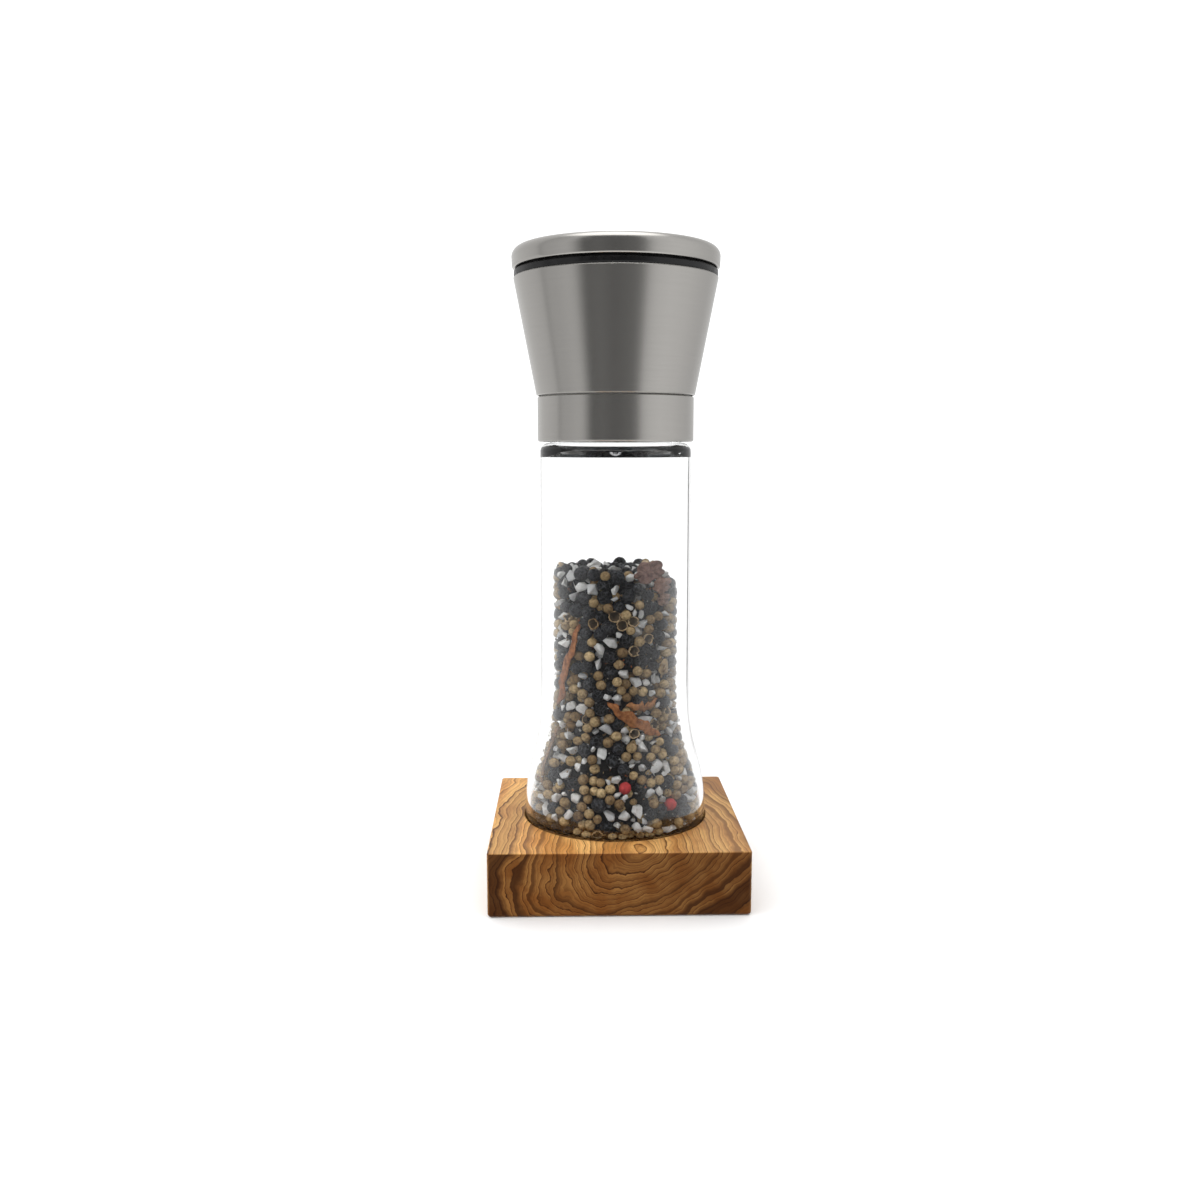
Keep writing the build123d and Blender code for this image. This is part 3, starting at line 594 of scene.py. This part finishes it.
# ---------------------------------------------------------------- building the pieces
def piece(name, parts, finish, smooth, body="jar"):
    """One mesh from parts, each (vertices in millimetres, triangles, one tint or one for each vertex)."""
    sizes = [len(v) for v, f, t in parts]
    starts = np.concatenate([[0], np.cumsum(sizes)[:-1]])
    v = np.vstack([v for v, f, t in parts]) * MM
    f = np.vstack([f + s for (_, f, _), s in zip(parts, starts)])
    tints = np.vstack([np.broadcast_to(t, (n, 3)) for (_, _, t), n in zip(parts, sizes)])
    tints = np.hstack([tints, np.ones((len(tints), 1))])
    mesh = bpy.data.meshes.new(name)
    mesh.vertices.add(len(v))
    mesh.vertices.foreach_set("co", v.astype(np.float32).ravel())
    mesh.loops.add(f.size)
    mesh.loops.foreach_set("vertex_index", f.astype(np.int32).ravel())
    mesh.polygons.add(len(f))
    mesh.polygons.foreach_set("loop_start", np.arange(0, f.size, 3, dtype=np.int32))
    mesh.polygons.foreach_set("use_smooth", np.full(len(f), smooth))
    tint = mesh.attributes.new("tint", "FLOAT_COLOR", "POINT")
    tint.data.foreach_set("color", tints.astype(np.float32).ravel())
    mesh.update(calc_edges=True)
    mesh.validate()
    mesh.materials.append(finish)
    made = bpy.data.objects.new(name, mesh)
    bpy.context.scene.collection.objects.link(made)
    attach(made, body)
    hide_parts("spice_fill")
    return made


# the darkest and lightest tint, and a power that leans towards light when under 1
TINTS = {
    "seed": ((0.26, 0.165, 0.075), (0.72, 0.54, 0.29), 0.8),
    "husk": ((0.45, 0.31, 0.17), (0.78, 0.60, 0.38), 1.0),
    "pepper": ((0.006, 0.007, 0.008), (0.036, 0.038, 0.043), 1.3),
    "pink": ((0.42, 0.02, 0.025), (0.62, 0.07, 0.07), 1.0),
    "salt": ((0.66, 0.67, 0.68), (0.97, 0.97, 0.95), 0.7),
}

# the function that makes a grain, and how many different ones there are
SHAPES = {
    "seed": (seed_shape, 8), "pepper": (pepper_shape, 8), "salt": (salt_shape, 26), "husk": (husk_shape, 5),
    "pink": (pepper_shape, 2),
}
SEED_SPLIT_Z, PEPPER_SPLIT_Z = 44, 78


def tint_of(kind, random):
    low, high, power = TINTS[kind]
    return np.array(low) + (np.array(high) - np.array(low)) * random.random() ** power


def split_at(parts, height):
    """The parts that lie below height, and the others, so that neither mesh has too many faces."""
    low = [p for p in parts if p[0][:, 2].mean() < height]
    high = [p for p in parts if p[0][:, 2].mean() >= height]
    return low, high


def grains(blockers):
    """The pieces of whole grains; returns the grains' centres and radii."""
    kinds, centres, radii = settle(blockers)
    made = {}
    for k, kind in enumerate(KINDS):
        make, count = SHAPES[kind]
        library = [make(rng) for _ in range(count)]
        parts = []
        for n, i in enumerate(np.nonzero(kinds == k)[0]):
            v, f = library[n % count]
            outward = (centres[i][0], centres[i][1], 0.0)
            way = facing(outward / np.linalg.norm(outward), rng, 0.25) if kind == "husk" else turn(rng)
            fit = v @ way.T * radii[i] + centres[i]
            # the husks' vertex lightness holds painted shade in their hollows
            shade = husk_painted_shades() if kind == "husk" else 1.0
            parts.append((inside(fit), f, tint_of(kind, rng) * shade))
        made[kind] = parts
    low, high = split_at(made["seed"], SEED_SPLIT_Z)
    piece("seeds_low", low, SEED, True)
    piece("seeds_high", high, SEED, True)
    piece("split_husks", made["husk"], HUSK, True)
    low, high = split_at(made["pepper"], PEPPER_SPLIT_Z)
    piece("black_peppercorns_low", low, PEPPER, True)
    piece("black_peppercorns_high", high, PEPPER, True)
    piece("pink_peppercorns", made["pink"], PINK, True)
    piece("salt_crystals", made["salt"], SALT, False)
    return centres, radii


def inside(v):
    """Keeps every vertex clear of the glass."""
    v = v.copy()
    v[:, 2] = np.maximum(v[:, 2], FLOOR_Z)
    side = np.hypot(v[:, 0], v[:, 1]) + 1e-9
    scale = np.minimum(1.0, wall(v[:, 2]) / side)[:, None]
    v[:, :2] *= scale
    return v


CRUMB_COUNT, DUST_COUNT, CRUMB_SHAPES = 1100, 60, 16

# a crumb's tone is the first one whose limit is above a random number
CRUMB_TONES = (
    (0.45, (0.30, 0.21, 0.12)), (0.7, (0.6, 0.6, 0.58)), (0.93, (0.13, 0.12, 0.07)),
    (1.0, (0.42, 0.13, 0.04)),
)


def crumbs(centres, radii):
    """Broken bits between the grains, against the glass, and specks of dust on the glass above the fill."""
    library = [crumb_shape(rng) for _ in range(CRUMB_SHAPES)]
    parts = []
    while len(parts) < CRUMB_COUNT:
        azimuth, z = rng.uniform(-180, 180), rng.uniform(FLOOR_Z + 0.5, 99)
        size = rng.uniform(0.25, 0.8)
        p = np.array(at(azimuth, z, size + rng.exponential(1.1)))
        if (np.linalg.norm(centres - p, axis=1) < radii + 0.25 * size).any():
            continue
        v, f = library[len(parts) % CRUMB_SHAPES]
        pick = rng.random()
        tone = next(tone for limit, tone in CRUMB_TONES if pick < limit)
        parts.append((inside(v @ turn(rng).T * size + p), f, np.array(tone) * rng.uniform(0.6, 1.2)))
    for _ in range(DUST_COUNT):
        size = rng.uniform(0.07, 0.2)
        v, f = library[len(parts) % CRUMB_SHAPES]
        spot = np.array(at(rng.uniform(-180, 180), rng.uniform(104, 135), size * 0.5))
        parts.append((inside(v @ turn(rng).T * size + spot), f, np.array((0.3, 0.27, 0.22))))
    piece("crumbs", parts, LEAF, False)


FLOOR_COVER, SIDE_COVER, TOP_COVER = 3.2, 4.6, 4.2  # how deep the middle lies under the outer grains


def middle():
    """The hidden middle of the fill: a lumpy body under the outer grains, painted near black for the shade
    deep among the grains and the dark peppercorns there.
    """
    around = 72
    heights = np.linspace(FLOOR_Z + FLOOR_COVER, 98.5, 60)
    rings = []
    for h in heights:
        a = np.arange(around) * 2 * math.pi / around
        r = wall(h) - SIDE_COVER
        top = fill_top(r * np.sin(a), -r * np.cos(a)) - TOP_COVER
        lump = 0.5 * np.sin(7 * a + 0.9 * h) * np.sin(1.3 * h + 3 * a) + 0.25 * np.sin(13 * a - 1.7 * h)
        rings.append(np.stack([(r + lump) * np.sin(a), -(r + lump) * np.cos(a), np.minimum(h, top)], -1))
    crown = rings[-1]
    for share in (0.75, 0.5, 0.25):
        flat = crown * (share, share, 1)
        flat[:, 2] = fill_top(flat[:, 0], flat[:, 1]) - TOP_COVER
        rings.append(flat)
    v = np.vstack([*rings, [[0, 0, FLOOR_Z + FLOOR_COVER], [0, 0, fill_top(0, 0) - TOP_COVER]]])
    faces = []
    for i in range(len(rings) - 1):
        for j in range(around):
            k = (j + 1) % around
            a, b = i * around, (i + 1) * around
            faces += [(a + j, a + k, b + k), (a + j, b + k, b + j)]
    last = (len(rings) - 1) * around
    for j in range(around):
        k = (j + 1) % around
        faces += [(len(v) - 2, k, j), (len(v) - 1, last + j, last + k)]
    # painted shade: the middle's near-black tint stands for the shade deep among the grains, and for the dark
    # peppercorns there
    piece("fill_middle", [(v, np.array(faces), np.array((0.012, 0.011, 0.010)))], LEAF, True)


def ribbon(path, widths, thick, curl, tint, random):
    """A dried strip: a flat ribbed section swept along path, a list of (azimuth, height, depth)."""
    steps, ring = 34, 14
    keys = np.linspace(0, 1, len(path))
    t = np.linspace(0, 1, steps)
    line = np.array([at(*[np.interp(s, keys, [p[c] for p in path]) for c in range(3)]) for s in t])
    line[1:-1] = (line[:-2] + line[1:-1] * 2 + line[2:]) / 4
    along = np.gradient(line, axis=0)
    along /= np.linalg.norm(along, axis=1)[:, None]
    out = line * (1, 1, 0)
    out /= np.linalg.norm(out, axis=1)[:, None]
    out += 0.35 * np.sin(t * curl)[:, None] * np.cross(along, out)
    side = np.cross(along, out)
    side /= np.linalg.norm(side, axis=1)[:, None]
    out = np.cross(side, along)
    rough = np.convolve(random.normal(0, 1, steps + 2), (0.4, 0.6, 0.4), "valid")
    width = np.interp(t, np.linspace(0, 1, len(widths)), widths) * (1 + 0.2 * rough)
    line += side * (0.35 * np.sin(t * 23 + random.uniform(0, 6)) + 0.25 * np.roll(rough, 3))[:, None]
    angle = np.arange(ring) * 2 * math.pi / ring
    ribs = 1 + 0.22 * np.cos(angle * 5)
    v = []
    for i in range(steps):
        ends = math.sqrt(max(0.02, 1 - abs(2 * t[i] - 1) ** 6))
        flat = np.outer(np.cos(angle) * width[i] / 2 * ends, side[i])
        v.append(line[i] + flat + np.outer(np.sin(angle) * thick / 2 * ribs, out[i]))
    v = np.vstack([*v, line[:1], line[-1:]])
    faces = []
    for i in range(steps - 1):
        for j in range(ring):
            a, b, k = i * ring, (i + 1) * ring, (j + 1) % ring
            faces += [(a + j, b + k, a + k), (a + j, b + j, b + k)]
    for j in range(ring):
        k = (j + 1) % ring
        faces += [(len(v) - 2, j, k), (len(v) - 1, len(v) - 2 - ring + k, len(v) - 2 - ring + j)]
    return inside(v), np.array(faces), np.array(tint)


def slice_shape(centre, azimuth, lean, size, lobes, tint, random):
    """A dried slice with a scalloped edge, standing against the glass."""
    around, rings = 60, 6
    a = np.arange(around) * 2 * math.pi / around
    uneven = np.convolve(np.tile(random.normal(0, 1, around), 3), np.ones(7) / 7, "same")[around:2 * around]
    edge = 1 - 0.2 * np.abs(np.cos(a * lobes / 2)) ** 4 + 0.06 * uneven
    edge *= 1 - 0.35 * np.clip(np.cos(a - math.pi), 0, 1)
    turned, lean = math.radians(azimuth), math.radians(lean)
    side = np.array([math.cos(turned), math.sin(turned), 0])
    out = np.array([math.sin(turned), -math.cos(turned), 0])
    across = side * math.cos(lean) + np.array([0, 0, math.sin(lean)])
    up = -side * math.sin(lean) + np.array([0, 0, math.cos(lean)])
    layers = []
    for face in (1, -1):
        for i in range(1, rings + 1):
            r = edge * i / rings
            wave = 0.35 * np.sin(3 * a) * (i / rings) ** 2 + 0.12 * np.sin(lobes * 2 * a)
            thick = face * 0.28 * (1 - (i / rings) ** 4 * 0.8)
            flat = centre + np.outer(r * np.cos(a) * size[0], across) + np.outer(r * np.sin(a) * size[1], up)
            layers.append(flat + np.outer(wave + thick, out))
    v = np.vstack([*layers, [centre + out * 0.28, centre - out * 0.28]])
    faces = []
    other = rings * around
    for j in range(around):
        k = (j + 1) % around
        for i in range(rings - 1):
            p, q = i * around, other + i * around
            faces += [(p + j, p + around + k, p + k), (p + j, p + around + j, p + around + k)]
            faces += [(q + j, q + k, q + around + k), (q + j, q + around + k, q + around + j)]
        rim, back = (rings - 1) * around, other + (rings - 1) * around
        faces += [(rim + j, back + k, rim + k), (rim + j, back + j, back + k)]
        faces += [(2 * other, j, k), (2 * other + 1, other + k, other + j)]
    return inside(v), np.array(faces), np.array(tint)


def dried_pieces():
    """The larger dried bits: strips, brownish slices and a tan flake. Returns every third of their points."""
    strips = [
        ribbon([(-36, 86, 0.8), (-41, 79, 0.6), (-50, 72, 0.6), (-57, 66, 0.7), (-62, 59, 1.0)],
               (1.8, 3.0, 3.8, 3.3, 2.2), 0.9, 5.0, (0.46, 0.18, 0.065), rng),
        ribbon([(-8, 62, 0.9), (2, 58, 0.6), (14, 56, 0.6), (26, 53, 0.6), (39, 50, 1.0)],
               (2.0, 3.3, 4.0, 3.2, 1.8), 0.9, 4.0, (0.50, 0.20, 0.07), rng),
        ribbon([(8, 61, 1.2), (18, 60, 0.7), (29, 60, 0.8), (38, 62, 1.2)],
               (1.6, 2.6, 2.6, 1.5), 0.8, 3.0, (0.54, 0.25, 0.10), rng),
        ribbon([(-60, 52, 1.0), (-66, 46, 0.7), (-70, 39, 0.8), (-66, 33, 1.2)],
               (1.6, 3.0, 2.8, 1.6), 0.8, 3.5, (0.32, 0.19, 0.10), rng),
        ribbon([(130, 80, 0.9), (140, 72, 0.6), (152, 66, 0.7), (160, 58, 1.0)],
               (1.8, 3.2, 3.0, 1.7), 0.9, 4.0, (0.50, 0.18, 0.06), rng),
        ribbon([(-120, 47, 0.9), (-130, 52, 0.6), (-143, 54, 0.7), (-152, 50, 1.0)],
               (1.8, 3.0, 3.0, 1.7), 0.9, 4.0, (0.48, 0.18, 0.06), rng),
    ]
    slices = [
        slice_shape(np.array(at(27, 102.2, 1.4)), 27, 14, (6.6, 3.7), 5, (0.32, 0.19, 0.16), rng),
        slice_shape(np.array(at(41, 98.0, 1.0)), 38, 2, (4.4, 3.0), 6, (0.34, 0.20, 0.155), rng),
        slice_shape(np.array(at(44, 93.6, 1.0)), 42, -10, (3.4, 2.4), 5, (0.33, 0.21, 0.16), rng),
        slice_shape(np.array(at(45, 71, 0.9)), 45, 70, (4.2, 1.8), 3, (0.5, 0.36, 0.2), rng),
        slice_shape(np.array(at(-150, 97, 1.2)), -150, 20, (4.6, 2.6), 6, (0.2, 0.115, 0.095), rng),
    ]
    piece("dried_strips", strips, LEAF, True)
    piece("dried_slices", slices, LEAF, True)
    return np.vstack([v[::3] for v, _, _ in strips + slices])


dried = dried_pieces()
centres, radii = grains(dried)
crumbs(np.vstack([centres, dried]), np.append(radii, np.full(len(dried), BLOCKER_R)))
middle()


# ---------------------------------------------------------------- camera, floor and light
BACKDROP = 1.3  # how bright the world is behind the object, and straight through the glass
MORE_INSIDE = 0.9  # the share by which light that comes through the glass onto the fill is raised
FLOOR_SIDE = 4.0

# brightness round the object, which the steel reflects: a share of a turn from the back over the left, and a
# level; 0.5 is the front
RING = (
    (0.0, 0.88), (0.06, 0.70), (0.13, 0.60), (0.20, 0.54), (0.234, 0.50), (0.247, 0.32), (0.262, 0.45),
    (0.29, 0.45), (0.34, 0.51), (0.362, 0.48), (0.378, 0.30), (0.398, 0.12), (0.44, 0.155), (0.49, 0.12),
    (0.56, 0.155), (0.582, 0.24), (0.602, 0.52), (0.63, 0.62), (0.68, 0.67), (0.75, 0.63), (0.79, 0.58),
    (0.85, 0.52), (0.92, 0.60), (1.0, 0.88),
)


def look(location, direction):
    made = bpy.data.cameras.new("camera")
    made.lens, made.sensor_width = 34.29, 36.0
    made.clip_start, made.clip_end = 0.01, 50.0
    camera = bpy.data.objects.new("camera", made)
    camera.location = location
    camera.rotation_mode = "QUATERNION"
    camera.rotation_quaternion = Vector(direction).to_track_quat("-Z", "Y")
    bpy.context.scene.collection.objects.link(camera)
    bpy.context.scene.camera = camera


def pale_floor():
    """White paper, dark to light bounced off matt things and not seen by glossy or refracted rays."""
    mesh = bpy.data.meshes.new("floor")
    corners = [(x * FLOOR_SIDE, y * FLOOR_SIDE, 0) for x, y in ((-1, -1), (1, -1), (1, 1), (-1, 1))]
    mesh.from_pydata(corners, [], [(0, 1, 2, 3)])
    made, s = material("paper", (0.95, 0.95, 0.95))
    path = s.node("LightPath").outputs
    seen = s.math("GREATER_THAN", path["Diffuse Depth"], 0.5)
    grain = s.noise(s.millimetres(), 0.5, 2.0)
    white = s.mix(grain, (0.965, 0.965, 0.962), (0.975, 0.975, 0.975))
    s.surface(Base_Color=s.mix(seen, white, (0.24, 0.235, 0.23)), Roughness=0.9, Specular_IOR_Level=0.1)
    mesh.materials.append(made)
    floor = bpy.data.objects.new("floor", mesh)
    floor.location = (0, 0, -0.0001)
    floor.visible_glossy = False
    floor.visible_transmission = False
    bpy.context.scene.collection.objects.link(floor)


def studio():
    """A plain white backdrop, a banded ring and ceiling for mirror rays, and soft light for matt surfaces."""
    world = bpy.data.worlds.new("studio")
    world.use_nodes = True
    world.cycles.sampling_method = "NONE"
    bpy.context.scene.world = world
    s = Shader(world.node_tree)
    way = s.node("TexCoord").outputs["Generated"]
    x, y, z = s.split(way)
    azimuth = s.math("DIVIDE", s.math("ARCTAN2", x, s.math("MULTIPLY", y, -1.0)), math.pi)
    ring = s.node("ValToRGB", {"Fac": s.math("MULTIPLY_ADD", azimuth, 0.5, 0.5)})
    ramp = ring.color_ramp
    ramp.elements[0].position, ramp.elements[1].position = RING[0][0], RING[-1][0]
    for place, _ in RING[1:-1]:
        ramp.elements.new(place)
    for element, (_, level) in zip(ramp.elements, RING):
        element.color = (level, level, level, 1.0)
    mirrored = s.mix(s.step(z, 0.84, 0.95), ring.outputs[0], (1.8, 1.8, 1.79))
    mirrored = s.mix(s.step(z, -0.62, -0.85), mirrored, (0.85, 0.85, 0.84))
    soft = s.math("MULTIPLY_ADD", s.step(z, -0.05, 0.85), 1.40, 0.06)
    soft = s.math("MULTIPLY_ADD", s.step(y, -0.2, 0.9), 0.30, soft)
    soft = s.math("MULTIPLY_ADD", s.step(x, 0.3, -0.9), 0.5, soft)
    path = s.node("LightPath").outputs
    second = s.math("GREATER_THAN", path["Diffuse Depth"], 0.5)
    scattered = s.math("MAXIMUM", path["Is Diffuse Ray"], second)
    through = s.math("MULTIPLY", path["Is Transmission Ray"], second)
    soft = s.math("MULTIPLY", soft, s.math("MULTIPLY_ADD", through, MORE_INSIDE, 1.0))
    light = s.mix(scattered, mirrored, s.join(soft, soft, soft))
    unreflected = s.math("LESS_THAN", path["Glossy Depth"], 0.5)
    onward = s.math("MAXIMUM", unreflected, s.step(y, -0.25, 0.15))
    straight = s.math("MULTIPLY", path["Is Transmission Ray"], onward)
    straight = s.math("MULTIPLY", straight, s.math("SUBTRACT", 1.0, second))
    straight = s.math("MAXIMUM", straight, path["Is Camera Ray"])
    light = s.mix(straight, light, (BACKDROP, BACKDROP, BACKDROP))
    background = s.node("Background", {"Color": light, "Strength": 1.0})
    out = s.node("OutputWorld")
    s.tree.links.new(background.outputs[0], out.inputs[0])


pitch = math.radians(7.625)
look((-0.01427, -0.3697, 0.1408), (0.0251 * math.cos(pitch), 0.9997 * math.cos(pitch), -math.sin(pitch)))
pale_floor()
studio()
bpy.context.scene.view_settings.view_transform = "Standard"
